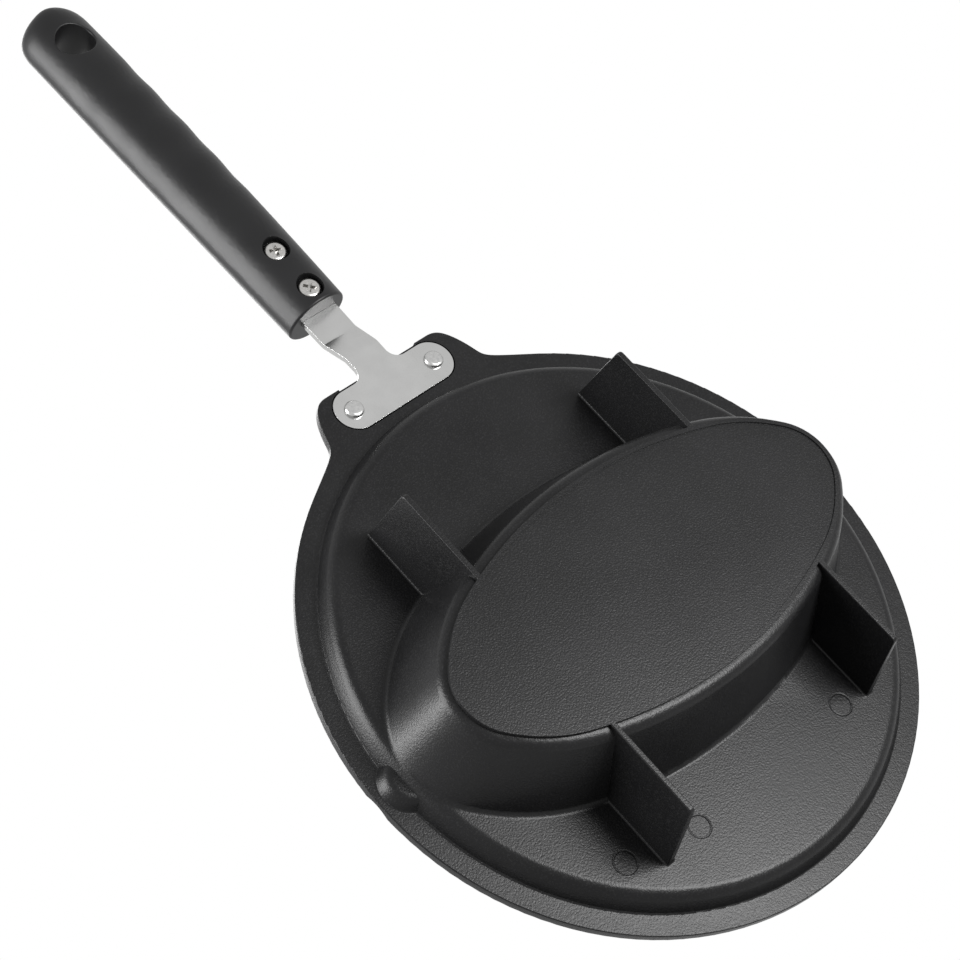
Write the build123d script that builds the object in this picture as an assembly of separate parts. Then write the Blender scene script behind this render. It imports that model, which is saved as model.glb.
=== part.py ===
"""An omelette pan: a shallow round dish with a deep oval well, four cast feet and a riveted handle.

Millimetres. The pan stands as it is used: +Z up, the oval base and the feet on z = 0, the origin at
the centre of the base. The handle runs along -Y and the pouring lips lie along X.
"""
from build123d import *
from math import atan2, cos, degrees, hypot, pi, radians, sin, sqrt, tan
import os

# Rim and dish
RIM_RADIUS = 105.0
RIM_UNDERSIDE_Z = 37.3
RIM_THICKNESS = 3.8
RIM_BAND = 7.0
RIM_TOP_ROUND = 1.0
RIM_UNDER_ROUND = 0.4
RIM_INNER_ROUND = 1.2
DISH_WALL = 3.0
DISH_FLOOR_Z = 30.15
DISH_DRAFT = 23.0
DISH_FOOT_ROUND = 4.5
LEDGE_ROUND = 0.8

# Oval well, measured outside at the dish floor, and its hollow at the dish's cooking face
WELL_FROM_LEDGE = 3.8
WELL_HALF_WIDTH = 50.2
WELL_DRAFT = 18.5
WELL_UNDERSIDE_Z = 1.6
WELL_BASE_ROUND = 4.0
WELL_FOOT_ROUND = 2.2
WELL_END_WALL = 4.7
WELL_SIDE_WALL = 3.0
WELL_BASE_WALL = 3.4
WELL_MOUTH_ROUND = 1.8
WELL_CORNER_ROUND = 9.0

# Every oval is drawn with three arcs to a quarter: the end arc's share of b*b/a, and the arcs' turns
OVAL_END_SHARE = 1.11
OVAL_END_TURN = 42.0
OVAL_SIDE_TURN = 70.0

# Flat oval base that the pan stands on: its steps in from the well's lower edge, and its field
BASE_END_STEP = 2.25
BASE_SIDE_STEP = 3.35
LIP_WIDTH = 1.5
FIELD_DEPTH = 0.5
LIP_INNER_ROUND = 0.3

# Four feet, cast as drafted fins that end short of the ledge and lean back to their free edge
FIN_SPACING = 97.1
FIN_EDGE_THICKNESS = 1.9
FIN_ROOT_THICKNESS = 3.0
FIN_FROM_LEDGE = 13.4
FIN_END_LEAN = 4.9
FIN_CORNER_ROUND = 1.6
FIN_EDGE_ROUND = 0.4
FIN_ROOT_ROUND = 0.7
FIN_INSET = 6.0

# Pouring lips, one at each end of the well
SPOUT_BUMP_RADIUS = 10.0
SPOUT_BUMP_FROM_RIM = 12.0
SPOUT_BUMP_DEPTH = 4.4
SPOUT_BUMP_DRAFT = 30.0
SPOUT_BUMP_ROUND = 3.6
SPOUT_GROOVE_RADIUS = 9.75
SPOUT_EDGE_DEPTH = 1.7
SPOUT_INNER_DEPTH = 4.4
SPOUT_RUN = 11.0

# Ejector marks under the dish floor, as x, y places
MARK_RADIUS = 3.8
MARK_DEPTH = 0.15
MARK_PLACES = [(-32.3, 66.4), (-60.0, 60.4), (37.4, 66.0)]

# Handle lug of the casting. Points on its ears: outwards from the plate's end, and in from the tip
LUG_LENGTH = 13.3
LUG_TIP_INSET = 2.1
LUG_SHOULDER = (4.3, 3.3)
LUG_WAIST = (8.3, 11.8)
LUG_ROOT_ANGLE = 60.3

# Bracket: a riveted plate with two lobes, a cranked neck and a tang inside the handle
SHEET_THICKNESS = 2.0
PLATE_HALF_LENGTH = 25.1
PLATE_WIDTH = 15.3
PLATE_FROM_TIP = 1.3
PLATE_CLEARANCE = 0.5
NECK_ROOT_WIDTH = 13.8
NECK_ROOT_ROUND = 4.5
NECK_FLAT = 9.3
NECK_BEND_RUN = 9.9
NECK_RISE = 3.9
NECK_BEND_ROUND = 3.0
NECK_TO_GRIP = 10.8
TANG_WIDTH = 15.0
TANG_DEPTH = 35.0
TANG_CORNER_ROUND = 4.0

# Rivets
RIVET_FROM_END = 6.9
RIVET_SHANK_RADIUS = 2.4
RIVET_HEAD_RADIUS = 3.4
RIVET_HEAD_HEIGHT = 1.5
RIVET_HEAD_ROUND = 1.3
RIVET_CLOSED_RADIUS = 3.9
RIVET_CLOSED_HEIGHT = 1.1
RIVET_CLOSED_ROUND = 0.8
RIVET_CLEARANCE = 0.05

# Handle: its oval section at the front and the rear, its swell between them and the way it climbs.
# The end is drawn by turns of a quarter circle. It closes early in width and late in height
GRIP_LENGTH = 151.0
GRIP_SWELL = 0.5
GRIP_FRONT_HALF_WIDTH = 11.9
GRIP_FRONT_HALF_HEIGHT = 10.8
GRIP_REAR_HALF_WIDTH = 13.4
GRIP_REAR_HALF_HEIGHT = 10.2
GRIP_CENTRE_Z = 43.8
GRIP_CLIMB = 2.5
GRIP_STATIONS = 3
GRIP_END_RUN = 10.0
GRIP_END_TURNS = (0.0, 25.0, 50.0, 70.0, 80.0)
GRIP_END_WIDTH_POWER = 0.66
GRIP_END_HEIGHT_POWER = 0.2
GRIP_FRONT_ROUND = 0.9
SLOT_CLEARANCE = 0.15

# Hanging hole in the handle
HANG_RADIUS = 7.0
HANG_FROM_END = 17.7
HANG_ROUND = 0.6

# Screws that hold the handle on the tang, and the inserts that they bite in
SCREW_FROM_FRONT = 6.9
SCREW_SPACING = 17.8
SCREW_SHANK_RADIUS = 2.0
SCREW_LENGTH = 12.0
SCREW_HEAD_RADIUS = 4.2
SCREW_HEAD_HEIGHT = 2.3
SCREW_HEAD_ROUND = 1.4
SCREW_HEAD_SUNK = 1.5
SCREW_CROSS_LENGTH = 4.2
SCREW_CROSS_WIDTH = 0.95
SCREW_CROSS_DEPTH = 1.5
SCREW_CLEARANCE = 0.25
COUNTERBORE_RADIUS = 4.85
INSERT_RADIUS = 3.2
INSERT_LENGTH = 6.5
INSERT_GROOVE_DEPTH = 0.4
INSERT_GROOVE_WIDTH = 1.2
INSERT_CLEARANCE = 0.03
THREAD_CLEARANCE = 0.05

# How far solids run into each other before they are joined, and past a face that they cut
JOIN_OVERLAP = 1.0
CUT_MARGIN = 5.0

RIM_TOP_Z = RIM_UNDERSIDE_Z + RIM_THICKNESS
DISH_TOP_Z = DISH_FLOOR_Z + DISH_WALL
LEDGE_RADIUS = RIM_RADIUS - RIM_BAND
WELL_HALF_LENGTH = LEDGE_RADIUS - WELL_FROM_LEDGE
WELL_LEAN = (DISH_FLOOR_Z - WELL_UNDERSIDE_Z) * tan(radians(WELL_DRAFT))
BASE_HALF_LENGTH = WELL_HALF_LENGTH - WELL_LEAN - BASE_END_STEP
BASE_HALF_WIDTH = WELL_HALF_WIDTH - WELL_LEAN - BASE_SIDE_STEP
FIN_ROOT_REACH = sqrt((LEDGE_RADIUS - FIN_FROM_LEDGE) ** 2 - (FIN_SPACING / 2) ** 2)
FIN_EDGE_REACH = FIN_ROOT_REACH - FIN_END_LEAN
LUG_REACH = RIM_RADIUS + LUG_LENGTH
PLATE_OUTER_REACH = LUG_REACH - PLATE_FROM_TIP
PLATE_LOBE_RADIUS = PLATE_WIDTH / 2
PLATE_MIDDLE_Y = PLATE_LOBE_RADIUS - PLATE_OUTER_REACH
PLATE_TOP_Z = RIM_UNDERSIDE_Z + SHEET_THICKNESS
NECK_BEND_START = PLATE_OUTER_REACH + NECK_FLAT
NECK_BEND_END = NECK_BEND_START + NECK_BEND_RUN
TANG_UNDERSIDE_Z = RIM_UNDERSIDE_Z + NECK_RISE
TANG_TOP_Z = TANG_UNDERSIDE_Z + SHEET_THICKNESS
GRIP_FRONT = NECK_BEND_END + NECK_TO_GRIP
GRIP_END = GRIP_FRONT + GRIP_LENGTH
TANG_END = GRIP_FRONT + TANG_DEPTH
RIVET_PLACES = [(side * (PLATE_HALF_LENGTH - RIVET_FROM_END), PLATE_MIDDLE_Y) for side in (-1, 1)]
SCREW_PLACES = [(0, -(GRIP_FRONT + SCREW_FROM_FRONT + k * SCREW_SPACING)) for k in range(2)]


def oval(half_length, half_width, grow=0.0):
    """A filled oval of eight smooth arcs, close to an ellipse and then grown by an even offset."""
    end, side = radians(OVAL_END_TURN), radians(OVAL_SIDE_TURN)
    end_r = OVAL_END_SHARE * half_width**2 / half_length
    # The middle and side radii close the quarter: two linear equations
    a11, a12, b1 = cos(side) - cos(end), -cos(side), end_r * (1 - cos(end)) - half_length
    a21, a22, b2 = sin(side) - sin(end), 1 - sin(side), half_width - end_r * sin(end)
    scale = a11 * a22 - a12 * a21
    middle_r, side_r = (b1 * a22 - a12 * b2) / scale, (a11 * b2 - b1 * a21) / scale
    end_x = half_length - end_r
    middle_x = end_x + (end_r - middle_r) * cos(end)
    middle_y = (end_r - middle_r) * sin(end)
    side_y = half_width - side_r
    arcs = [
        (end_x, 0, end_r, -end, end),
        (middle_x, middle_y, middle_r, end, side),
        (0, side_y, side_r, side, pi - side),
        (-middle_x, middle_y, middle_r, pi - side, pi - end),
        (-end_x, 0, end_r, pi - end, pi + end),
        (-middle_x, -middle_y, middle_r, pi + end, pi + side),
        (0, -side_y, side_r, pi + side, 2 * pi - side),
        (middle_x, -middle_y, middle_r, 2 * pi - side, 2 * pi - end),
    ]
    edges = []
    for x, y, radius, start, stop in arcs:
        turns = (start, (start + stop) / 2, stop)
        points = [(x + (radius + grow) * cos(t), y + (radius + grow) * sin(t)) for t in turns]
        edges.append(ThreePointArc(*points).edge())
    return make_face(Wire(edges))


def drafted_oval(half_length, half_width, ring_z, z_low, z_high):
    """A plug whose oval wall leans out with height. The half axes are those at ring_z."""
    foot = oval(half_length, half_width, (z_low - ring_z) * tan(radians(WELL_DRAFT)))
    return extrude(Plane.XY.offset(z_low) * foot, z_high - z_low, taper=-WELL_DRAFT)


def edges_at(solid, z):
    """The edges that lie in the level plane at height z."""
    return solid.edges().filter_by_position(Axis.Z, z, z)


def dish_section(floor_z, inset, foot_round, top_z):
    """Half of the dish's section, filled from the axis to the wall, in the XZ plane."""
    lean = tan(radians(DISH_DRAFT))
    ledge = LEDGE_RADIUS - inset / cos(radians(DISH_DRAFT))
    foot = ledge - (RIM_UNDERSIDE_Z - floor_z) * lean
    top = ledge + (top_z - RIM_UNDERSIDE_Z) * lean
    outline = Polyline((0, floor_z), (foot, floor_z), (top, top_z), (0, top_z), close=True)
    face = make_face(Plane.XZ * outline)
    corner = face.vertices().sort_by(Axis.Z)[:2].sort_by(Axis.X)[-1]
    return fillet(corner, foot_round)


def dish_outside():
    """The dish's outer form as a solid plug."""
    section = dish_section(DISH_FLOOR_Z, 0, DISH_FOOT_ROUND, RIM_UNDERSIDE_Z + JOIN_OVERLAP)
    return revolve(section, Axis.Z)


def dish_inside():
    """The hollow of the dish, open at the top."""
    foot_round = max(DISH_FOOT_ROUND - DISH_WALL, DISH_WALL / 4)
    section = dish_section(DISH_TOP_Z, DISH_WALL, foot_round, RIM_TOP_Z + CUT_MARGIN)
    return revolve(section, Axis.Z)


def well_outside():
    """The well's outer form: a drafted oval tub with a rounded lower edge."""
    tub = drafted_oval(
        WELL_HALF_LENGTH, WELL_HALF_WIDTH, DISH_FLOOR_Z, WELL_UNDERSIDE_Z, DISH_FLOOR_Z + DISH_WALL / 2
    )
    return fillet(edges_at(tub, WELL_UNDERSIDE_Z), WELL_BASE_ROUND)


def well_inside():
    """The hollow of the well, with a generous corner for turning the omelette out."""
    floor_z = WELL_UNDERSIDE_Z + WELL_BASE_WALL
    tub = drafted_oval(
        WELL_HALF_LENGTH - WELL_END_WALL,
        WELL_HALF_WIDTH - WELL_SIDE_WALL,
        DISH_TOP_Z,
        floor_z,
        DISH_TOP_Z + JOIN_OVERLAP,
    )
    return fillet(edges_at(tub, floor_z), WELL_CORNER_ROUND)


def base_boss():
    """The flat oval base, before its field is recessed."""
    return extrude(oval(BASE_HALF_LENGTH, BASE_HALF_WIDTH), WELL_UNDERSIDE_Z + JOIN_OVERLAP)


def base_field():
    """The shallow recess inside the base's lip."""
    return extrude(oval(BASE_HALF_LENGTH, BASE_HALF_WIDTH, -LIP_WIDTH), FIELD_DEPTH)


def fin():
    """The foot on the +X +Y side: a drafted fin from inside the base outwards, rounded into the dish.

    It stands on a pad that lies inside the dish floor, so it carries its own root rounding.
    """
    inner = BASE_HALF_WIDTH * sqrt(1 - (FIN_SPACING / 2 / BASE_HALF_LENGTH) ** 2) - FIN_INSET
    root_z = DISH_FLOOR_Z + DISH_WALL / 2
    reach = FIN_EDGE_REACH + (FIN_ROOT_REACH - FIN_EDGE_REACH) * root_z / DISH_FLOOR_Z
    edge = FIN_EDGE_THICKNESS / 2
    root = edge + (FIN_ROOT_THICKNESS - FIN_EDGE_THICKNESS) / 2 * root_z / DISH_FLOOR_Z
    side_view = Polyline((inner, 0), (FIN_EDGE_REACH, 0), (reach, root_z), (inner, root_z), close=True)
    side = make_face(Plane.YZ * side_view)
    corner = side.vertices().sort_by(Axis.Z)[:2].sort_by(Axis.Y)[-1]
    slab = extrude(fillet(corner, FIN_CORNER_ROUND), FIN_ROOT_THICKNESS, both=True)
    end_view = Polyline((-edge, 0), (edge, 0), (root, root_z), (-root, root_z), close=True)
    wedge = extrude(make_face(Plane.XZ * end_view), 2 * RIM_RADIUS, both=True)
    plate = slab & wedge
    long_edges = plate.edges().filter_by(
        lambda e: (e @ 0.5).Y > inner + 1 and (e @ 0.5).Z < root_z - 1 and abs((e @ 0.5).X) > edge / 2
    )
    plate = fillet(long_edges, FIN_EDGE_ROUND)
    far = reach + 2 * FIN_ROOT_ROUND
    pad = Box(2 * (root + 2 * FIN_ROOT_ROUND), far - inner, root_z - DISH_FLOOR_Z)
    foot = plate + Pos(0, (inner + far) / 2, (DISH_FLOOR_Z + root_z) / 2) * pad
    roots = edges_at(foot, DISH_FLOOR_Z).filter_by(
        lambda e: abs((e @ 0.5).X) < root + FIN_ROOT_ROUND / 2 and inner + 1 < (e @ 0.5).Y < reach
    )
    return Pos(FIN_SPACING / 2, 0) * fillet(roots, FIN_ROOT_ROUND)


def on_four_sides(solid):
    """The solid and its mirror images about both upright planes."""
    pair = [solid, mirror(solid, Plane.YZ)]
    return pair + [mirror(each, Plane.XZ) for each in pair]


def spout_bump():
    """The outside of the +X pouring lip: a rounded boss under the rim, at the well's end."""
    low = RIM_UNDERSIDE_Z - SPOUT_BUMP_DEPTH
    radius = SPOUT_BUMP_RADIUS - SPOUT_BUMP_DEPTH * tan(radians(SPOUT_BUMP_DRAFT))
    foot = Plane.XY.offset(low) * Circle(radius)
    bump = extrude(foot, SPOUT_BUMP_DEPTH + JOIN_OVERLAP, taper=-SPOUT_BUMP_DRAFT)
    return Pos(RIM_RADIUS - SPOUT_BUMP_FROM_RIM, 0) * fillet(edges_at(bump, low), SPOUT_BUMP_ROUND)


def spout_groove():
    """The inside of the +X pouring lip: a round channel that climbs outwards over the rim."""
    lift = RIM_TOP_Z + SPOUT_GROOVE_RADIUS
    inner = Vector(RIM_RADIUS - SPOUT_RUN, 0, lift - SPOUT_INNER_DEPTH)
    outer = Vector(RIM_RADIUS, 0, lift - SPOUT_EDGE_DEPTH)
    along = (outer - inner).normalized()
    section = Plane(origin=inner - along * CUT_MARGIN, z_dir=along) * Circle(SPOUT_GROOVE_RADIUS)
    return extrude(section, (outer - inner).length + 3 * CUT_MARGIN)


def lug_outline():
    """The lug's plan: a straight outer edge, two rounded ears and hollow flanks down to the rim."""
    turn = radians(LUG_ROOT_ANGLE)
    root = (RIM_RADIUS * cos(turn), -RIM_RADIUS * sin(turn))
    tip = (PLATE_HALF_LENGTH - LUG_TIP_INSET, -LUG_REACH)
    shoulder = (PLATE_HALF_LENGTH + LUG_SHOULDER[0], LUG_SHOULDER[1] - LUG_REACH)
    waist = (PLATE_HALF_LENGTH + LUG_WAIST[0], LUG_WAIST[1] - LUG_REACH)
    ear = Spline(tip, shoulder, waist, root, tangents=((1, 0), (sin(turn), cos(turn))))
    lines = [Line((0, 0), (0, -LUG_REACH)), Line((0, -LUG_REACH), tip), ear, Line(root, (0, 0))]
    half = make_face(Wire([line.edge() for line in lines]))
    return half + mirror(half, Plane.YZ)


def rim_plate():
    """The flat rim with the handle lug, its outer edges rounded. The dish is cut from it later."""
    plan = Circle(RIM_RADIUS) + lug_outline()
    plate = extrude(Plane.XY.offset(RIM_UNDERSIDE_Z) * plan, RIM_THICKNESS)
    plate = fillet(edges_at(plate, RIM_TOP_Z), RIM_TOP_ROUND)
    return fillet(edges_at(plate, RIM_UNDERSIDE_Z), RIM_UNDER_ROUND)


def plate_slot(clearance=0.0):
    """The plan of the bracket's plate: two round lobes joined by straight edges."""
    radius = PLATE_LOBE_RADIUS + clearance
    between = 2 * (PLATE_HALF_LENGTH - PLATE_LOBE_RADIUS)
    return Pos(0, PLATE_MIDDLE_Y) * SlotCenterToCenter(between, 2 * radius)


def lug_recess():
    """The seat for the plate under the lug, open towards the handle between the ears."""
    between = 2 * (PLATE_HALF_LENGTH - PLATE_LOBE_RADIUS)
    reach = LUG_REACH + PLATE_MIDDLE_Y + CUT_MARGIN
    opening = Pos(0, PLATE_MIDDLE_Y - reach / 2) * Rectangle(between, reach)
    plan = plate_slot(PLATE_CLEARANCE) + opening
    return extrude(Plane.XY.offset(PLATE_TOP_Z - CUT_MARGIN) * plan, CUT_MARGIN)


def upright(places, radius, z_low, z_high):
    """Round bars along Z at the given x, y places."""
    return [Pos(x, y, z_low) * extrude(Circle(radius), z_high - z_low) for x, y in places]


def pan_body():
    """The casting: dish, rim, lug, well, base, feet and pouring lips in one piece."""
    body = dish_outside() + well_outside()
    well_foot = body.edges().filter_by(
        lambda e: e.bounding_box().min.Z > DISH_FLOOR_Z - 0.01
        and e.bounding_box().max.Z < DISH_FLOOR_Z + DISH_WALL / 2
        and hypot((e @ 0.5).X, (e @ 0.5).Y) < WELL_HALF_LENGTH + 1
        and hypot((e @ 0.5).X / WELL_HALF_LENGTH, (e @ 0.5).Y / WELL_HALF_WIDTH) < 1.1
    )
    body = fillet(well_foot, WELL_FOOT_ROUND) + base_boss()
    for each in on_four_sides(fin()):
        body += each
    body -= base_field()
    body += rim_plate()
    bump, groove = spout_bump(), spout_groove()
    body += [bump, mirror(bump, Plane.YZ)]
    ledge = edges_at(body, RIM_UNDERSIDE_Z).filter_by(
        lambda e: hypot((e @ 0.5).X, (e @ 0.5).Y) < RIM_RADIUS - RIM_UNDER_ROUND - 1
    )
    body = fillet(ledge, LEDGE_ROUND)
    body -= dish_inside()
    body -= well_inside()
    mouth = edges_at(body, DISH_TOP_Z).filter_by(
        lambda e: hypot((e @ 0.5).X / WELL_HALF_LENGTH, (e @ 0.5).Y / WELL_HALF_WIDTH) < 1
    )
    body = fillet(mouth, WELL_MOUTH_ROUND)
    rim_inner = edges_at(body, RIM_TOP_Z).filter_by(
        lambda e: hypot((e @ 0.5).X, (e @ 0.5).Y) < LEDGE_RADIUS
    )
    body = fillet(rim_inner, RIM_INNER_ROUND)
    body -= [groove, mirror(groove, Plane.YZ), lug_recess()]
    hole = RIVET_SHANK_RADIUS + RIVET_CLEARANCE
    body -= upright(RIVET_PLACES, hole, RIM_UNDERSIDE_Z - CUT_MARGIN, RIM_TOP_Z + CUT_MARGIN)
    body -= upright(MARK_PLACES, MARK_RADIUS, DISH_FLOOR_Z - MARK_DEPTH, DISH_FLOOR_Z + MARK_DEPTH)
    return body


def bracket_side_view():
    """The bent sheet seen from the side, in the YZ plane, with both bends rounded."""
    low, high = RIM_UNDERSIDE_Z, TANG_UNDERSIDE_Z
    turn = atan2(NECK_RISE, NECK_BEND_RUN)
    shift = SHEET_THICKNESS * tan(turn / 2)
    front = PLATE_WIDTH - PLATE_OUTER_REACH
    under = [(front, low), (-NECK_BEND_START, low), (-NECK_BEND_END, high), (-TANG_END, high)]
    over = [
        (-TANG_END, high + SHEET_THICKNESS),
        (-NECK_BEND_END + shift, high + SHEET_THICKNESS),
        (-NECK_BEND_START + shift, low + SHEET_THICKNESS),
        (front, low + SHEET_THICKNESS),
    ]
    face = make_face(Plane.YZ * Polyline(*under, *over, close=True))
    inner_bends, outer_bends = [under[2], over[2]], [under[1], over[1]]
    for bends, radius in ((inner_bends, NECK_BEND_ROUND), (outer_bends, NECK_BEND_ROUND + SHEET_THICKNESS)):
        for y, z in bends:
            corner = face.vertices().sort_by_distance((0, y, z))[0]
            face = fillet(corner, radius)
    return face


def bracket_plan():
    """The bracket seen from above: the plate's slot shape and the neck that widens to the tang."""
    plate, root, wide = PLATE_MIDDLE_Y, NECK_ROOT_WIDTH / 2, TANG_WIDTH / 2
    right = [(root, plate), (root, -PLATE_OUTER_REACH), (wide, -GRIP_FRONT), (wide, -TANG_END)]
    left = [(-x, y) for x, y in reversed(right)]
    plan = plate_slot() + make_face(Polyline(*right, *left, close=True))
    roots = plan.vertices().filter_by(
        lambda v: abs(v.Y + PLATE_OUTER_REACH) < 0.01 and abs(abs(v.X) - root) < 0.01
    )
    plan = fillet(roots, NECK_ROOT_ROUND)
    return fillet(plan.vertices().sort_by(Axis.Y)[:2], TANG_CORNER_ROUND)


def handle_bracket():
    """Pressed stainless bracket: the riveted plate, the cranked neck and the tang."""
    sheet = extrude(bracket_side_view(), PLATE_HALF_LENGTH + CUT_MARGIN, both=True)
    low, high = RIM_UNDERSIDE_Z - CUT_MARGIN, TANG_TOP_Z + CUT_MARGIN
    bracket = sheet & extrude(Plane.XY.offset(low) * bracket_plan(), high - low)
    bracket -= upright(RIVET_PLACES, RIVET_SHANK_RADIUS + RIVET_CLEARANCE, low, high)
    bracket -= upright(SCREW_PLACES, SCREW_SHANK_RADIUS + SCREW_CLEARANCE, low, high)
    return bracket


def rivet(x, y):
    """One solid rivet: a domed head under the plate, the shank, and the closed end on the lug."""
    head = extrude(Plane.XY.offset(RIM_UNDERSIDE_Z) * Circle(RIVET_HEAD_RADIUS), -RIVET_HEAD_HEIGHT)
    head = fillet(edges_at(head, RIM_UNDERSIDE_Z - RIVET_HEAD_HEIGHT), RIVET_HEAD_ROUND)
    shank = extrude(Plane.XY.offset(RIM_UNDERSIDE_Z) * Circle(RIVET_SHANK_RADIUS), RIM_THICKNESS)
    closed = extrude(Plane.XY.offset(RIM_TOP_Z) * Circle(RIVET_CLOSED_RADIUS), RIVET_CLOSED_HEIGHT)
    closed = fillet(edges_at(closed, RIM_TOP_Z + RIVET_CLOSED_HEIGHT), RIVET_CLOSED_ROUND)
    return Pos(x, y) * (head + shank + closed)


def grip_section(share):
    """Half width, half height and middle height of the handle at a share of its length."""
    swell = GRIP_SWELL * 4 * share * (1 - share)
    width = GRIP_FRONT_HALF_WIDTH + (GRIP_REAR_HALF_WIDTH - GRIP_FRONT_HALF_WIDTH) * share + swell
    height = GRIP_FRONT_HALF_HEIGHT + (GRIP_REAR_HALF_HEIGHT - GRIP_FRONT_HALF_HEIGHT) * share + swell
    return width, height, GRIP_CENTRE_Z + GRIP_CLIMB * share**2


def grip_underside(y):
    """The height of the handle's lowest line at y."""
    _, height, middle = grip_section((-y - GRIP_FRONT) / (GRIP_LENGTH - GRIP_END_RUN))
    return middle - height


def oval_section(y, half_width, half_height, middle_z):
    """An upright elliptical face across the handle."""
    plane = Plane(origin=(0, y, middle_z), x_dir=(-1, 0, 0), z_dir=(0, -1, 0))
    return plane * Ellipse(half_width, half_height)


def grip_form():
    """The handle's outer form: oval sections that widen and climb to the rear, and a rounded end."""
    body, end = [], []
    for k in range(GRIP_STATIONS):
        share = k / (GRIP_STATIONS - 1)
        y = -GRIP_FRONT - share * (GRIP_LENGTH - GRIP_END_RUN)
        body.append(oval_section(y, *grip_section(share)))
    width, height, middle = grip_section(1)
    for turn in GRIP_END_TURNS:
        across = cos(radians(turn))
        run = GRIP_END_RUN * sin(radians(turn)) / sin(radians(GRIP_END_TURNS[-1]))
        half_width = width * across**GRIP_END_WIDTH_POWER
        half_height = height * across**GRIP_END_HEIGHT_POWER
        end.append(oval_section(GRIP_END_RUN - GRIP_END - run, half_width, half_height, middle))
    form = loft(body) + loft(end)
    return fillet(form.edges().sort_by(Axis.Y)[-1], GRIP_FRONT_ROUND)


def insert_form(grow=0.0):
    """An insert's outside, standing on z = 0 with a groove that keys it, grown evenly by a gap."""
    radius, groove = INSERT_RADIUS + grow, INSERT_RADIUS - INSERT_GROOVE_DEPTH + grow
    half = INSERT_GROOVE_WIDTH / 2 - grow
    low, high = INSERT_LENGTH / 2 - half, INSERT_LENGTH / 2 + half
    spans = [(0, low, radius), (low, high, groove), (high, INSERT_LENGTH + grow, radius)]
    return Part() + [Pos(0, 0, start) * extrude(Circle(r), stop - start) for start, stop, r in spans]


def screw_seat(y):
    """The height of the screw head's bearing face at y."""
    return grip_underside(y) + SCREW_HEAD_SUNK + SCREW_HEAD_HEIGHT


def handle_grip():
    """Moulded handle: slot for the tang, counterbored screw holes, insert pockets, hanging hole."""
    grip = grip_form()
    width = TANG_WIDTH + 2 * SLOT_CLEARANCE
    height = SHEET_THICKNESS + 2 * SLOT_CLEARANCE
    front = GRIP_FRONT - CUT_MARGIN
    rear = TANG_END + SLOT_CLEARANCE
    slot_top = TANG_TOP_Z + SLOT_CLEARANCE
    slot = Pos(0, -(front + rear) / 2, slot_top - height / 2) * Box(width, rear - front, height)
    rear_corners = slot.edges().filter_by(Axis.Z).sort_by(Axis.Y)[:2]
    grip -= fillet(rear_corners, TANG_CORNER_ROUND)
    for x, y in SCREW_PLACES:
        seat = screw_seat(y)
        face = grip_underside(y)
        grip -= upright([(x, y)], SCREW_SHANK_RADIUS + SCREW_CLEARANCE, seat, TANG_UNDERSIDE_Z)
        grip -= upright([(x, y)], COUNTERBORE_RADIUS, face - CUT_MARGIN, seat)
        grip -= Pos(x, y, slot_top) * insert_form(INSERT_CLEARANCE)
    hang_y = -(GRIP_END - HANG_FROM_END)
    grip -= upright([(0, hang_y)], HANG_RADIUS, 0, GRIP_CENTRE_Z * 2)[0]
    mouths = grip.edges().filter_by(
        lambda e: abs(hypot((e @ 0.5).X, (e @ 0.5).Y - hang_y) - HANG_RADIUS) < 0.01
        and e.bounding_box().size.Z < GRIP_REAR_HALF_HEIGHT
    )
    return fillet(mouths, HANG_ROUND)


def cross_recess(x, y, face_z):
    """The cross recess of a screw head that faces down, narrowing with depth."""
    arms = []
    for length, width in ((SCREW_CROSS_LENGTH, SCREW_CROSS_WIDTH), (SCREW_CROSS_WIDTH, SCREW_CROSS_LENGTH)):
        mouth = Plane.XY.offset(face_z) * Rectangle(length, width)
        floor = Plane.XY.offset(face_z + SCREW_CROSS_DEPTH) * Rectangle(length / 2, width / 2)
        arms.append(loft([mouth, floor], ruled=True))
    return [Pos(x, y) * Rot(0, 0, 45 if y > SCREW_PLACES[1][1] else 20) * arm for arm in arms]


def screw(x, y):
    """One pan-head screw, driven upwards through the tang into its insert."""
    seat = screw_seat(y)
    face = seat - SCREW_HEAD_HEIGHT
    head = extrude(Plane.XY.offset(face) * Circle(SCREW_HEAD_RADIUS), SCREW_HEAD_HEIGHT)
    head = Pos(x, y) * fillet(edges_at(head, face), SCREW_HEAD_ROUND)
    shank = upright([(x, y)], SCREW_SHANK_RADIUS, seat, seat + SCREW_LENGTH)[0]
    return head + shank - cross_recess(x, y, face)


def insert(x, y):
    """One brass insert with its threaded bore drawn plain."""
    body = Pos(x, y, TANG_TOP_Z + SLOT_CLEARANCE) * insert_form()
    low = TANG_TOP_Z + SLOT_CLEARANCE - CUT_MARGIN
    bore = upright([(x, y)], SCREW_SHANK_RADIUS + THREAD_CLEARANCE, low, low + INSERT_LENGTH + 2 * CUT_MARGIN)
    return body - bore


def group(maker, places):
    """Separate solids of one kind, kept as one node."""
    return Compound(children=[maker(x, y) for x, y in places])


NODES = {
    "pan_body": pan_body,
    "handle_bracket": handle_bracket,
    "pan_rivets": lambda: group(rivet, RIVET_PLACES),
    "handle_grip": handle_grip,
    "handle_screws": lambda: group(screw, SCREW_PLACES),
    "handle_inserts": lambda: group(insert, SCREW_PLACES),
}

os.makedirs("parts", exist_ok=True)
for name, make in NODES.items():
    export_step(make(), f"parts/{name}.step")
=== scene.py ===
"""An omelette pan seen from below its base: cast body, steel bracket, rivets, grip and screws.

Metres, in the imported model's frame: +Z up as the pan is used, the handle along -Y, the oval well
along X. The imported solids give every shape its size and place. The script gives them smooth faces,
eased edges and finishes, and makes the rivets and the screws afresh.
"""

from math import cos, pi, radians, sqrt

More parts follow.
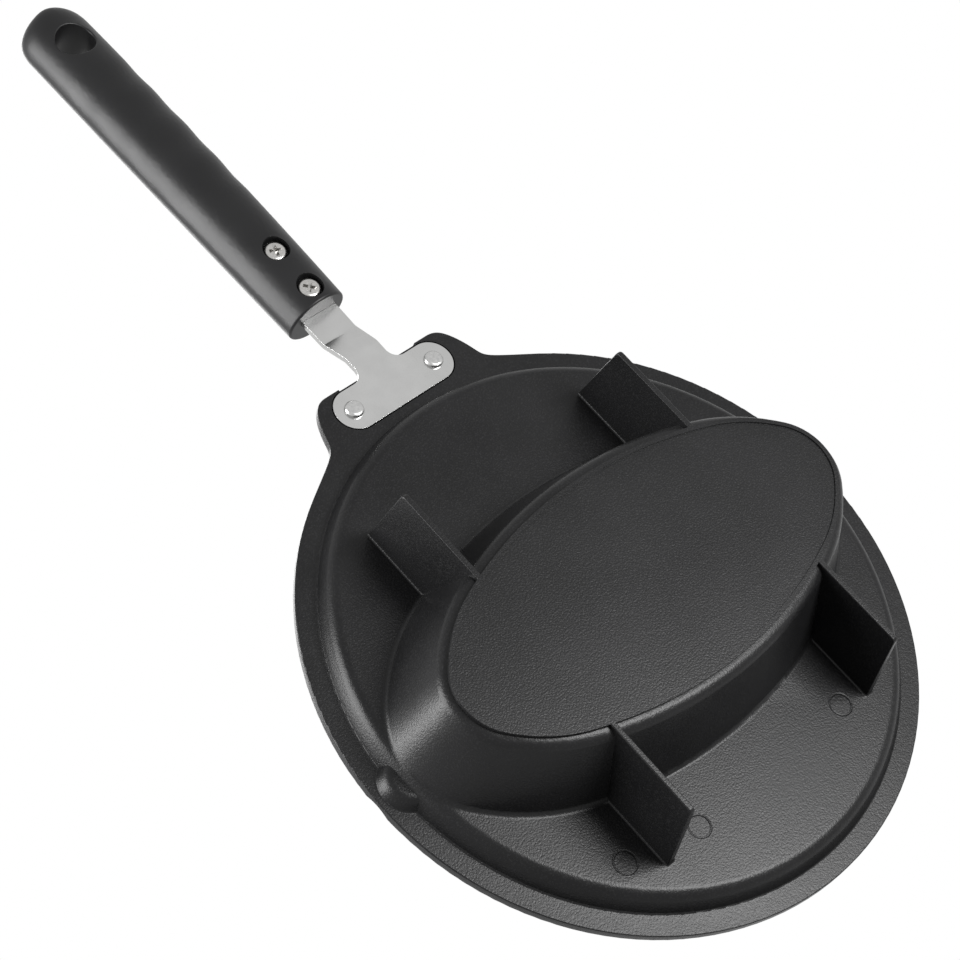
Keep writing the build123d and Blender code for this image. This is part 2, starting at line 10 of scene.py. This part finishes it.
import bmesh
import bpy
from mathutils import Matrix, Vector


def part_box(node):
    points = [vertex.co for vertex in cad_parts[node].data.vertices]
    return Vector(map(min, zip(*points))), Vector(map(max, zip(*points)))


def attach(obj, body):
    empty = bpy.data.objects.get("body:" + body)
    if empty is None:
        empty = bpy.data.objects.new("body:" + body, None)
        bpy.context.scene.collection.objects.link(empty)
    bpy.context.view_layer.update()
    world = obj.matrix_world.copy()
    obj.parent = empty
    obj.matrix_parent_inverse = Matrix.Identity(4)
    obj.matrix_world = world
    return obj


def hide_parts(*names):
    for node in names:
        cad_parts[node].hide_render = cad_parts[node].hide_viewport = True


MM = 0.001

# Where the camera stood for the photograph, with its sight lines and lens
CAMERA_PLACE = Vector((-0.40302, 0.11369, -0.58173))
CAMERA_RIGHT = Vector((0.70243921, 0.660426, -0.26536136))
CAMERA_UP = Vector((0.4755782, -0.71290437, -0.51535691))
CAMERA_SIGHT = Vector((0.52953238, -0.23580682, 0.81485619))
CAMERA_LENS = 87.0
CAMERA_SENSOR = 36.0
CAMERA_NEAR = 0.01

# The room's light on the pan, and the outputs of Light Path for rays that see the room as white
ROOM_STRENGTH = 0.40
RAY_CAMERA = 0
RAY_GLOSSY = 3
RAY_TRANSMISSION = 6

# More outputs and inputs of nodes that are called by number
OBJECT_PLACE = 3
BACK_OF_FACE = 6
Z_PART = 2
VECTOR_MEASURE = 1
MIX_FIRST = 6
MIX_SECOND = 7
MIX_COLOUR = 2

# Ejector marks under the dish floor, in mm as in the solids, the half width of the line around
# them, and the heights between which it stops
MARK_PLACES = ((-32.3, 66.4), (-60.0, 60.4), (37.4, 66.0))
MARK_RADIUS = 3.8 * MM
MARK_EDGE = (0.1 * MM, 0.45 * MM)
MARK_TOP = (31 * MM, 32 * MM)

# Lamps over the pan, to its left and under it: where each stands, where it faces, its width and
# height, and its watts
LAMPS = {
    "sky lamp": ((0.5, -0.9, 1.5), (0, -0.1, 0), (1.2, 1.2), 14),
    "left lamp": ((-0.72, -0.53, -0.03), (-0.02, -0.15, 0.04), (0.45, 0.68), 16),
    "high lamp": ((-0.72, -0.48, 0.42), (-0.08, -0.01, 0.01), (0.2, 0.2), 3.3),
    "under lamp": ((0.19, 0.155, -0.5), (-0.04, 0.09, 0.03), (0.24, 0.26), 6.2),
}

# Where the floor starts to fade and where it ends, from the pan's middle
FLOOR_FADE = (0.5, 2.6)
FLOOR_SIZE = 6
FLOOR_Z = -0.2 * MM

# Rivets: a head below, the shank, and the closed end above
RIVET_SIZES = {
    "Head radius": 3.4 * MM,
    "Head height": 1.5 * MM,
    "Head round": 1.3 * MM,
    "Shank radius": 2.4 * MM,
    "Grip length": 3.8 * MM,
    "Closed radius": 3.9 * MM,
    "Closed height": 1.1 * MM,
    "Closed round": 0.8 * MM,
}

# Screws: a pan head with a cross recess below, and the shank. The point is rounded by a share of
# the shank's radius. The recess narrows with depth, and its cut starts proud of the head
SCREW_SIZES = {
    "Head radius": 4.2 * MM,
    "Head height": 2.3 * MM,
    "Head round": 1.4 * MM,
    "Shank radius": 2.0 * MM,
    "Shank length": 12.0 * MM,
    "Cross length": 4.8 * MM,
    "Cross width": 1.3 * MM,
    "Cross depth": 1.5 * MM,
}
SCREW_POINT = 0.4
CROSS_NARROWS = 0.5
CROSS_PROUD = 0.05
SCREW_TURNS = {"First turn": radians(45), "Turn step": radians(-25)}
RIVET_TURNS = {"First turn": 0.0, "Turn step": 0.0}

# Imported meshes: the distance of points that count as one, and the shading that is made afresh.
# Then the least angles of edges that stay sharp, and of edges that are eased
MERGE_DISTANCE = 0.002 * MM
PACKED_SHADING = ("custom_normal", "sharp_face", "sharp_edge")
PACKED_SHARP_ANGLE = radians(28)
TURNED_SHARP_ANGLE = radians(32)
EASED_ANGLE = radians(50)
EASED_STEPS = 2
BRACKET_EDGE = 0.12 * MM

# How finely turned forms are drawn, the small hole that a ring of their sides starts from, and the
# distance of points that count as one, which closes it
TURNED_SIDES = 48
TURNED_ROUND_STEPS = 6
TURNED_CORE = 0.0002 * MM
TURNED_MERGE = 10 * TURNED_CORE

# The grip's form, as in the solids, and the shallow waves for the fingers under it
GRIP_END_RUN = 10.0 * MM
GRIP_SWELL = 0.5 * MM
GRIP_HALF_WIDTHS = (11.9 * MM, 13.4 * MM)
GRIP_HALF_HEIGHTS = (10.8 * MM, 10.2 * MM)
GRIP_CENTRE_Z = 43.8 * MM
GRIP_CLIMB = 2.5 * MM
WAVE_PITCH = 17.5 * MM
WAVE_COUNT = 4
WAVE_FROM_END = 30.2 * MM
WAVE_DEPTH = 0.35 * MM
WAVE_CUT_STEP = 1.75 * MM

# Where the waves start and are full: as shares of the half height below the middle, and of the
# way from the middle out to the skin
WAVE_DROP = (0.0, 0.6)
WAVE_SKIN = (0.90, 0.98)

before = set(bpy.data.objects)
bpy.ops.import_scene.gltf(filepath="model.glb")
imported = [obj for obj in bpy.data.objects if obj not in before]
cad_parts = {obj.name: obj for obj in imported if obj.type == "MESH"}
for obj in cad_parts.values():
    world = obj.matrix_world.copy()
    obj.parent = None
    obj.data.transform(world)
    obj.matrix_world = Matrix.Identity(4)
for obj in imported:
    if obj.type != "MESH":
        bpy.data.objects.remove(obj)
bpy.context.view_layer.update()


class Value:
    """One output of a node. Arithmetic on it adds the nodes that work it out."""

    def __init__(self, graph, socket):
        self.graph, self.socket = graph, socket

    def sum(self, operation, *others, clamp=False):
        """A math node's result, with this value as its first term."""
        settings = {"operation": operation, "use_clamp": clamp}
        inputs = dict(enumerate((self, *others)))
        return self.graph.node("ShaderNodeMath", settings, inputs)

    def __add__(self, other):
        return self.sum("ADD", other)

    def __mul__(self, other):
        return self.sum("MULTIPLY", other)

    def __truediv__(self, other):
        return self.sum("DIVIDE", other)

    def between(self, low, high):
        """0 below low and 1 above high, with a smooth way between them."""
        settings = {"interpolation_type": "SMOOTHSTEP"}
        inputs = {"Value": self, "From Min": low, "From Max": high}
        return self.graph.node("ShaderNodeMapRange", settings, inputs)

    def scaled(self, low, high):
        """This value, taken as 0 to 1, as a share of the way from low to high."""
        return self * (high - low) + low


class Graph:
    """A node tree while it is being written."""

    def __init__(self, tree):
        self.tree = tree

    def node(self, kind, settings=None, inputs=None, output=0):
        """Adds a node, sets it up, and gives back one of its outputs."""
        node = self.tree.nodes.new(kind)
        for key, value in (settings or {}).items():
            if key == "items":
                while len(node.index_switch_items) < value:
                    node.index_switch_items.new()
            else:
                setattr(node, key, value)
        for key, value in (inputs or {}).items():
            for each in value if isinstance(value, list) else [value]:
                if isinstance(each, Value):
                    self.tree.links.new(each.socket, node.inputs[key])
                else:
                    node.inputs[key].default_value = each
        return Value(self, node.outputs[output])

    def mix(self, factor, first, second):
        """A colour on the way from first to second."""
        colours = [c if isinstance(c, Value) else (*c, 1) for c in (first, second)]
        inputs = {0: factor, MIX_FIRST: colours[0], MIX_SECOND: colours[1]}
        return self.node("ShaderNodeMix", {"data_type": "RGBA"}, inputs, output=MIX_COLOUR)


class Shape(Graph):
    """A Geometry Nodes tree while it is being written. Its named inputs are sizes in metres."""

    def __init__(self, name, sizes, vectors):
        super().__init__(bpy.data.node_groups.new(name, "GeometryNodeTree"))
        self.values = {**sizes, **vectors}
        sides = self.tree.interface
        sides.new_socket("Geometry", in_out="OUTPUT", socket_type="NodeSocketGeometry")
        for label in self.values:
            kind = "NodeSocketVector" if label in vectors else "NodeSocketFloat"
            sides.new_socket(label, in_out="INPUT", socket_type=kind)
        self.entry = self.tree.nodes.new("NodeGroupInput")
        self.exit = self.tree.nodes.new("NodeGroupOutput")

    def size(self, label):
        """One of the tree's named inputs."""
        return Value(self, self.entry.outputs[label])

    def place(self, x, y, z):
        """A point or a direction."""
        return self.node("ShaderNodeCombineXYZ", None, {0: x, 1: y, 2: z})

    def choice(self, kind, options):
        """Each point's own option, by its number."""
        index = self.node("GeometryNodeInputIndex")
        inputs = {0: index, **{k + 1: option for k, option in enumerate(options)}}
        settings = {"data_type": kind, "items": len(options)}
        return self.node("GeometryNodeIndexSwitch", settings, inputs)

    def turned(self, corners):
        """A closed form turned about Z. Corners are radius, height and rounding, from the top down."""
        line = self.node("GeometryNodeMeshLine", None, {"Count": len(corners)})
        places = self.choice("VECTOR", [self.place(r, z * -1, 0) for r, z, _ in corners])
        line = self.node("GeometryNodeSetPosition", None, {"Geometry": line, "Position": places})
        profile = self.node("GeometryNodeMeshToCurve", None, {"Mesh": line})
        rounds = self.choice("FLOAT", [each for _, _, each in corners])
        inputs = {"Curve": profile, "Radius": rounds, "Count": TURNED_ROUND_STEPS}
        profile = self.node("GeometryNodeFilletCurve", {"mode": "POLY"}, inputs)
        inputs = {"Resolution": TURNED_SIDES, "Radius": TURNED_CORE}
        ring = self.node("GeometryNodeCurvePrimitiveCircle", None, inputs)
        form = self.node("GeometryNodeCurveToMesh", None, {"Curve": ring, "Profile Curve": profile})
        inputs = {"Geometry": form, "Distance": TURNED_MERGE}
        return self.node("GeometryNodeMergeByDistance", None, inputs)

    def finish(self, form, material):
        """Ends the tree: the form at its two places, turned in steps, made real with its material."""
        index = self.node("GeometryNodeInputIndex")
        inputs = {"Count": 2, "Start Location": self.size("First place"), "Offset": self.size("Step")}
        row = self.node("GeometryNodeMeshLine", None, inputs)
        spin = self.place(0, 0, index * self.size("Turn step") + self.size("First turn"))
        inputs = {"Points": row, "Instance": form, "Rotation": spin}
        pair = self.node("GeometryNodeInstanceOnPoints", None, inputs)
        pair = self.node("GeometryNodeRealizeInstances", None, {"Geometry": pair})
        pair = self.node("GeometryNodeSetMaterial", None, {"Geometry": pair, "Material": material})
        self.tree.links.new(pair.socket, self.exit.inputs[0])


class Finish(Graph):
    """A surface material with one main shader, laid out on the piece's own coordinates in metres."""

    def __init__(self, name, colour, metallic=0.0):
        self.material = bpy.data.materials.new(name)
        self.material.use_nodes = True
        super().__init__(self.material.node_tree)
        self.shader = self.tree.nodes["Principled BSDF"]
        self.material.diffuse_color = (*colour, 1)
        self.material.metallic = metallic
        self.set("Base Color", (*colour, 1))
        self.set("Metallic", metallic)
        self.place = self.node("ShaderNodeTexCoord", output=OBJECT_PLACE)

    def set(self, name, value):
        """Sets or links one of the main shader's inputs."""
        if isinstance(value, Value):
            self.tree.links.new(value.socket, self.shader.inputs[name])
        else:
            self.shader.inputs[name].default_value = value

    def stretched(self, x=1.0, y=1.0, z=1.0, turn=0.0):
        """The coordinates scaled along each axis, and turned about Z."""
        inputs = {"Vector": self.place, "Rotation": (0, 0, turn), "Scale": (x, y, z)}
        return self.node("ShaderNodeMapping", None, inputs)

    def noise(self, scale, detail=2.0, roughness=0.5, place=None):
        """Cloudy noise about 0.5, with scale in cells to a metre."""
        inputs = {"Vector": place or self.place, "Scale": scale}
        inputs.update({"Detail": detail, "Roughness": roughness})
        return self.node("ShaderNodeTexNoise", None, inputs)

    def bump(self, height, depth, strength=1.0):
        """Raises the surface by height times depth, in metres."""
        inputs = {"Strength": strength, "Distance": depth, "Height": height}
        self.set("Normal", self.node("ShaderNodeBump", None, inputs))


def mark_rings(finish):
    """0 on the edges of the ejector marks under the dish floor, and 1 everywhere else."""
    kind = "ShaderNodeVectorMath"
    flat = finish.node(kind, {"operation": "MULTIPLY"}, {0: finish.place, 1: (1, 1, 0)})
    height = finish.node("ShaderNodeSeparateXYZ", None, {0: finish.place}, output=Z_PART)
    clear = 1
    for x, y in MARK_PLACES:
        inputs = {0: flat, 1: (x * MM, y * MM, 0)}
        away = finish.node(kind, {"operation": "DISTANCE"}, inputs, output=VECTOR_MEASURE)
        clear = (away + -MARK_RADIUS).sum("ABSOLUTE").between(*MARK_EDGE) * clear
    return clear.sum("MAXIMUM", height.between(*MARK_TOP))


def coated_casting():
    """Black non-stick coating on sandblasted cast aluminium, with painted glints of its grain in the
    colour.
    """
    finish = Finish("nonstick coating", (0.010, 0.010, 0.0105))
    finish.set("IOR", 1.27)
    grain = finish.noise(1700, detail=1.5, roughness=0.6)
    # Painted glints: light flecks where the grain noise is high stand in for the glints of the
    # sandblast grain
    glint_flecks = grain.between(0.50, 0.72)
    clouds = finish.noise(26, detail=3.0)
    body = finish.mix(clouds.between(0.3, 0.7), (0.0035, 0.0035, 0.0037), (0.0065, 0.0065, 0.0068))
    # The colour: random darker and lighter clouds, with the painted glint flecks mixed in
    finish.set("Base Color", finish.mix(glint_flecks * 0.12, body, (0.045, 0.045, 0.046)))
    finish.set("Roughness", grain.scaled(0.26, 0.42))
    finish.bump(grain + mark_rings(finish) * 1.3, 0.13 * MM, strength=0.65)
    return finish.material


def satin_steel():
    """Pressed stainless sheet with a fine lengthwise grain."""
    finish = Finish("stainless sheet", (0.51, 0.51, 0.505), metallic=1.0)
    along = finish.stretched(x=1.0, y=0.04, z=1.0)
    grain = finish.noise(3800, detail=2.0, place=along)
    clouds = finish.noise(120, detail=2.0)
    finish.set("Base Color", finish.mix(clouds, (0.42, 0.42, 0.415), (0.50, 0.50, 0.495)))
    finish.set("Roughness", (grain * 0.6 + clouds * 0.4).scaled(0.18, 0.28))
    finish.bump(grain, 0.004 * MM, strength=0.2)
    return finish.material


def rivet_metal():
    """Plain aluminium, dulled by the forming tool."""
    finish = Finish("rivet aluminium", (0.72, 0.72, 0.71), metallic=1.0)
    marks = finish.noise(900, detail=3.0)
    finish.set("Base Color", finish.mix(marks, (0.36, 0.36, 0.36), (0.54, 0.54, 0.53)))
    finish.set("Roughness", marks.scaled(0.16, 0.34))
    finish.bump(marks, 0.03 * MM, strength=0.4)
    return finish.material


def moulded_plastic():
    """Smooth satin black plastic."""
    finish = Finish("handle plastic", (0.008, 0.008, 0.0085))
    finish.set("IOR", 1.32)
    skin = finish.noise(2200, detail=2.0)
    clouds = finish.noise(60, detail=2.0)
    finish.set("Base Color", finish.mix(clouds, (0.004, 0.004, 0.0043), (0.007, 0.007, 0.0074)))
    finish.set("Roughness", (skin * 0.5 + clouds * 0.5).scaled(0.34, 0.46))
    finish.bump(skin, 0.01 * MM, strength=0.3)
    return finish.material


def zinc_steel():
    """Bright zinc plating on turned steel."""
    finish = Finish("screw zinc", (0.70, 0.69, 0.66), metallic=1.0)
    marks = finish.noise(1400, detail=2.0)
    finish.set("Base Color", finish.mix(marks, (0.34, 0.335, 0.325), (0.54, 0.53, 0.515)))
    finish.set("Roughness", marks.scaled(0.16, 0.34))
    finish.bump(marks, 0.02 * MM, strength=0.5)
    return finish.material


def turned_brass():
    """Turned brass of the inserts."""
    finish = Finish("insert brass", (0.72, 0.52, 0.22), metallic=1.0)
    rings = finish.noise(3000, detail=1.0, place=finish.stretched(0.05, 0.05, 1.0))
    finish.set("Base Color", finish.mix(rings, (0.62, 0.44, 0.18), (0.78, 0.58, 0.27)))
    finish.set("Roughness", rings.scaled(0.2, 0.4))
    finish.bump(rings, 0.01 * MM, strength=0.4)
    return finish.material


def smooth_copy(name, node, material, edge=0.0, change=None):
    """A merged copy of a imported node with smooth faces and, where asked, softened edges."""
    shape = bmesh.new()
    shape.from_mesh(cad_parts[node].data)
    bmesh.ops.remove_doubles(shape, verts=shape.verts, dist=MERGE_DISTANCE)
    if change:
        change(shape)
    mesh = bpy.data.meshes.new(name)
    shape.to_mesh(mesh)
    shape.free()
    for attribute in [a.name for a in mesh.attributes if a.name in PACKED_SHADING]:
        mesh.attributes.remove(mesh.attributes[attribute])
    mesh.shade_smooth()
    mesh.set_sharp_from_angle(angle=PACKED_SHARP_ANGLE)
    mesh.materials.clear()
    mesh.materials.append(material)
    piece = bpy.data.objects.new(name, mesh)
    bpy.context.scene.collection.objects.link(piece)
    if edge:
        bevel = piece.modifiers.new("eased edges", "BEVEL")
        bevel.width = edge
        bevel.segments = EASED_STEPS
        bevel.limit_method = "ANGLE"
        bevel.angle_limit = EASED_ANGLE
        bevel.harden_normals = True
    weights = piece.modifiers.new("flat faces stay flat", "WEIGHTED_NORMAL")
    weights.keep_sharp = True
    piece = finished(piece)
    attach(piece, "root")
    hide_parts(node)
    return piece


def smooth_step(value, low, high):
    """0 below low and 1 above high, with a smooth way between them."""
    share = min(max((value - low) / (high - low), 0), 1)
    return share * share * (3 - 2 * share)


def part_way(ends, share):
    """The value that lies this share of the way from the first end to the second."""
    return ends[0] + (ends[1] - ends[0]) * share


def finger_waves(shape):
    """Presses shallow waves for the fingers into the grip's underside."""
    low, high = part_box("handle_grip")
    grip_end, grip_front = low[1], high[1]
    start = grip_end + WAVE_FROM_END
    length = WAVE_COUNT * WAVE_PITCH
    for k in range(int(length / WAVE_CUT_STEP) + 1):
        everything = shape.verts[:] + shape.edges[:] + shape.faces[:]
        cut = (0, start + k * WAVE_CUT_STEP, 0)
        bmesh.ops.bisect_plane(shape, geom=everything, plane_co=cut, plane_no=(0, 1, 0))
    for vert in shape.verts:
        x, y, z = vert.co
        along = (y - start) / length
        if not 0 < along < 1:
            continue
        share = (grip_front - y) / (grip_front - grip_end - GRIP_END_RUN)
        swell = GRIP_SWELL * 4 * share * (1 - share)
        half_width = part_way(GRIP_HALF_WIDTHS, share) + swell
        half_height = part_way(GRIP_HALF_HEIGHTS, share) + swell
        middle = GRIP_CENTRE_Z + GRIP_CLIMB * share**2
        drop = (middle - z) / half_height
        outwards = Vector((x / half_width, 0, -drop))
        wave = (1 - cos(2 * pi * WAVE_COUNT * along)) / 2
        weight = smooth_step(drop, *WAVE_DROP) * smooth_step(outwards.length, *WAVE_SKIN)
        vert.co -= outwards.normalized() * WAVE_DEPTH * wave * weight


def rivets_tree():
    """The tree for two rivets, standing on the outer faces of their heads."""
    low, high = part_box("pan_rivets")
    widest = RIVET_SIZES["Closed radius"]
    first = (low[0] + widest, (low[1] + high[1]) / 2, low[2])
    step = (high[0] - low[0] - 2 * widest, 0, 0)
    places = {"First place": first, "Step": step}
    tree = Shape("rivet row", {**RIVET_SIZES, **RIVET_TURNS}, places)
    head = tree.size("Head radius")
    shank = tree.size("Shank radius")
    closed = tree.size("Closed radius")
    seat = tree.size("Head height")
    lug = seat + tree.size("Grip length")
    top = lug + tree.size("Closed height")
    corners = [
        (0, top, 0),
        (closed, top, tree.size("Closed round")),
        (closed, lug, 0),
        (shank, lug, 0),
        (shank, seat, 0),
        (head, seat, 0),
        (head, 0, tree.size("Head round")),
        (0, 0, 0),
    ]
    tree.finish(tree.turned(corners), rivet_metal())
    return tree


def screws_tree():
    """The tree for two cross-head screws, standing on their outer faces."""
    low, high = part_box("handle_screws")
    widest = SCREW_SIZES["Head radius"]
    length = SCREW_SIZES["Head height"] + SCREW_SIZES["Shank length"]
    first = Vector((0, high[1] - widest, low[2]))
    last = Vector((0, low[1] + widest, high[2] - length))
    places = {"First place": first, "Step": last - first}
    tree = Shape("screw row", {**SCREW_SIZES, **SCREW_TURNS}, places)
    head = tree.size("Head radius")
    shank = tree.size("Shank radius")
    seat = tree.size("Head height")
    top = seat + tree.size("Shank length")
    corners = [
        (0, top, 0),
        (shank, top, shank * SCREW_POINT),
        (shank, seat, 0),
        (head, seat, 0),
        (head, 0, tree.size("Head round")),
        (0, 0, 0),
    ]
    long = tree.size("Cross length")
    thin = tree.size("Cross width")
    deep = tree.size("Cross depth")
    arms = [cross_arm(tree, long, thin, deep), cross_arm(tree, thin, long, deep)]
    inputs = {"Mesh 1": tree.turned(corners), "Mesh 2": arms}
    settings = {"operation": "DIFFERENCE", "solver": "EXACT"}
    cut = tree.node("GeometryNodeMeshBoolean", settings, inputs)
    tree.finish(cut, zinc_steel())
    return tree


def cross_arm(tree, length, width, depth):
    """One arm of a cross recess: a bar that narrows with depth."""
    inputs = {"Vertices": 4, "Radius Bottom": 1, "Radius Top": CROSS_NARROWS, "Depth": 1}
    bar = tree.node("GeometryNodeMeshCone", None, inputs)
    square = {"Geometry": bar, "Rotation": (0, 0, pi / 4), "Translation": (0, 0, -CROSS_PROUD)}
    bar = tree.node("GeometryNodeTransform", None, square)
    sides = {"Geometry": bar, "Scale": tree.place(length / sqrt(2), width / sqrt(2), depth)}
    return tree.node("GeometryNodeTransform", None, sides)


def fasteners(name, node, tree):
    """The baked result of a fastener tree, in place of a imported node."""
    piece = bpy.data.objects.new(name, bpy.data.meshes.new(name))
    bpy.context.scene.collection.objects.link(piece)
    row = piece.modifiers.new("row", "NODES")
    row.node_group = tree.tree
    for socket in tree.tree.interface.items_tree:
        if socket.in_out == "INPUT":
            row[socket.identifier] = tree.values[socket.name]
    piece = finished(piece)
    piece.data.shade_smooth()
    piece.data.set_sharp_from_angle(angle=TURNED_SHARP_ANGLE)
    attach(piece, "root")
    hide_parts(node)
    return piece


def finished(piece):
    """The piece with its modifiers worked into its mesh."""
    evaluated = piece.evaluated_get(bpy.context.evaluated_depsgraph_get())
    mesh = bpy.data.meshes.new_from_object(evaluated)
    piece.modifiers.clear()
    piece.data = mesh
    return piece


def paint_node(node, material):
    """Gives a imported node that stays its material."""
    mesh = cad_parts[node].data
    mesh.materials.clear()
    mesh.materials.append(material)


def camera():
    """The photograph's camera."""
    data = bpy.data.cameras.new("camera")
    data.lens = CAMERA_LENS
    data.sensor_width = CAMERA_SENSOR
    data.clip_start = CAMERA_NEAR
    viewer = bpy.data.objects.new("camera", data)
    turn = Matrix((CAMERA_RIGHT, CAMERA_UP, -CAMERA_SIGHT)).transposed().to_4x4()
    viewer.matrix_world = Matrix.Translation(CAMERA_PLACE) @ turn
    bpy.context.scene.collection.objects.link(viewer)
    bpy.context.scene.camera = viewer


def lamp(name, place, aim, size, watts):
    """A soft rectangular lamp."""
    data = bpy.data.lights.new(name, "AREA")
    data.shape = "RECTANGLE"
    data.size, data.size_y = size
    data.energy = watts
    light = bpy.data.objects.new(name, data)
    light.location = place
    light.rotation_euler = (Vector(aim) - Vector(place)).to_track_quat("-Z", "Y").to_euler()
    bpy.context.scene.collection.objects.link(light)


def studio():
    """White surroundings and the lamps."""
    world = bpy.data.worlds.new("studio")
    world.use_nodes = True
    bpy.context.scene.world = world
    room = Graph(world.node_tree)
    ray = "ShaderNodeLightPath"
    shown = [room.node(ray, output=place) for place in (RAY_CAMERA, RAY_GLOSSY, RAY_TRANSMISSION)]
    seen = (shown[0] + shown[1]).sum("ADD", shown[2], clamp=True)
    strength = seen.scaled(ROOM_STRENGTH, 1.0)
    backdrop = world.node_tree.nodes["Background"]
    world.node_tree.links.new(strength.socket, backdrop.inputs["Strength"])
    backdrop.inputs["Color"].default_value = (1, 1, 1, 1)

    for name, (place, aim, size, watts) in LAMPS.items():
        lamp(name, place, aim, size, watts)


def floor():
    """A pale floor that fades out around the pan. Looking up from below, it isn't there."""
    bpy.ops.mesh.primitive_plane_add(size=FLOOR_SIZE, location=(0, 0, FLOOR_Z))
    plane = bpy.context.object
    plane.name = "floor"
    ground = Finish("floor", (0.86, 0.86, 0.86))
    ground.set("Roughness", ground.noise(30).scaled(0.7, 0.9))
    below = ground.node("ShaderNodeNewGeometry", output=BACK_OF_FACE)
    clear = ground.node("ShaderNodeBsdfTransparent")
    solid = Value(ground, ground.shader.outputs[0])
    length = {"operation": "LENGTH"}
    reach = ground.node("ShaderNodeVectorMath", length, {0: ground.place}, output=VECTOR_MEASURE)
    gone = below.sum("ADD", reach.between(*FLOOR_FADE), clamp=True)
    shown = ground.node("ShaderNodeMixShader", None, {0: gone, 1: solid, 2: clear})
    ground.tree.links.new(shown.socket, ground.tree.nodes["Material Output"].inputs["Surface"])
    plane.data.materials.append(ground.material)
    plane.visible_diffuse = False
    plane.visible_glossy = False
    plane.visible_transmission = False
    plane.visible_shadow = False


casting = smooth_copy("cast_pan", "pan_body", coated_casting())
bracket = smooth_copy("steel_bracket", "handle_bracket", satin_steel(), edge=BRACKET_EDGE)
grip = smooth_copy("moulded_grip", "handle_grip", moulded_plastic(), change=finger_waves)
rivets = fasteners("domed_rivets", "pan_rivets", rivets_tree())
screws = fasteners("cross_screws", "handle_screws", screws_tree())
paint_node("handle_inserts", turned_brass())

camera()
studio()
floor()
bpy.context.scene.view_settings.view_transform = "Standard"
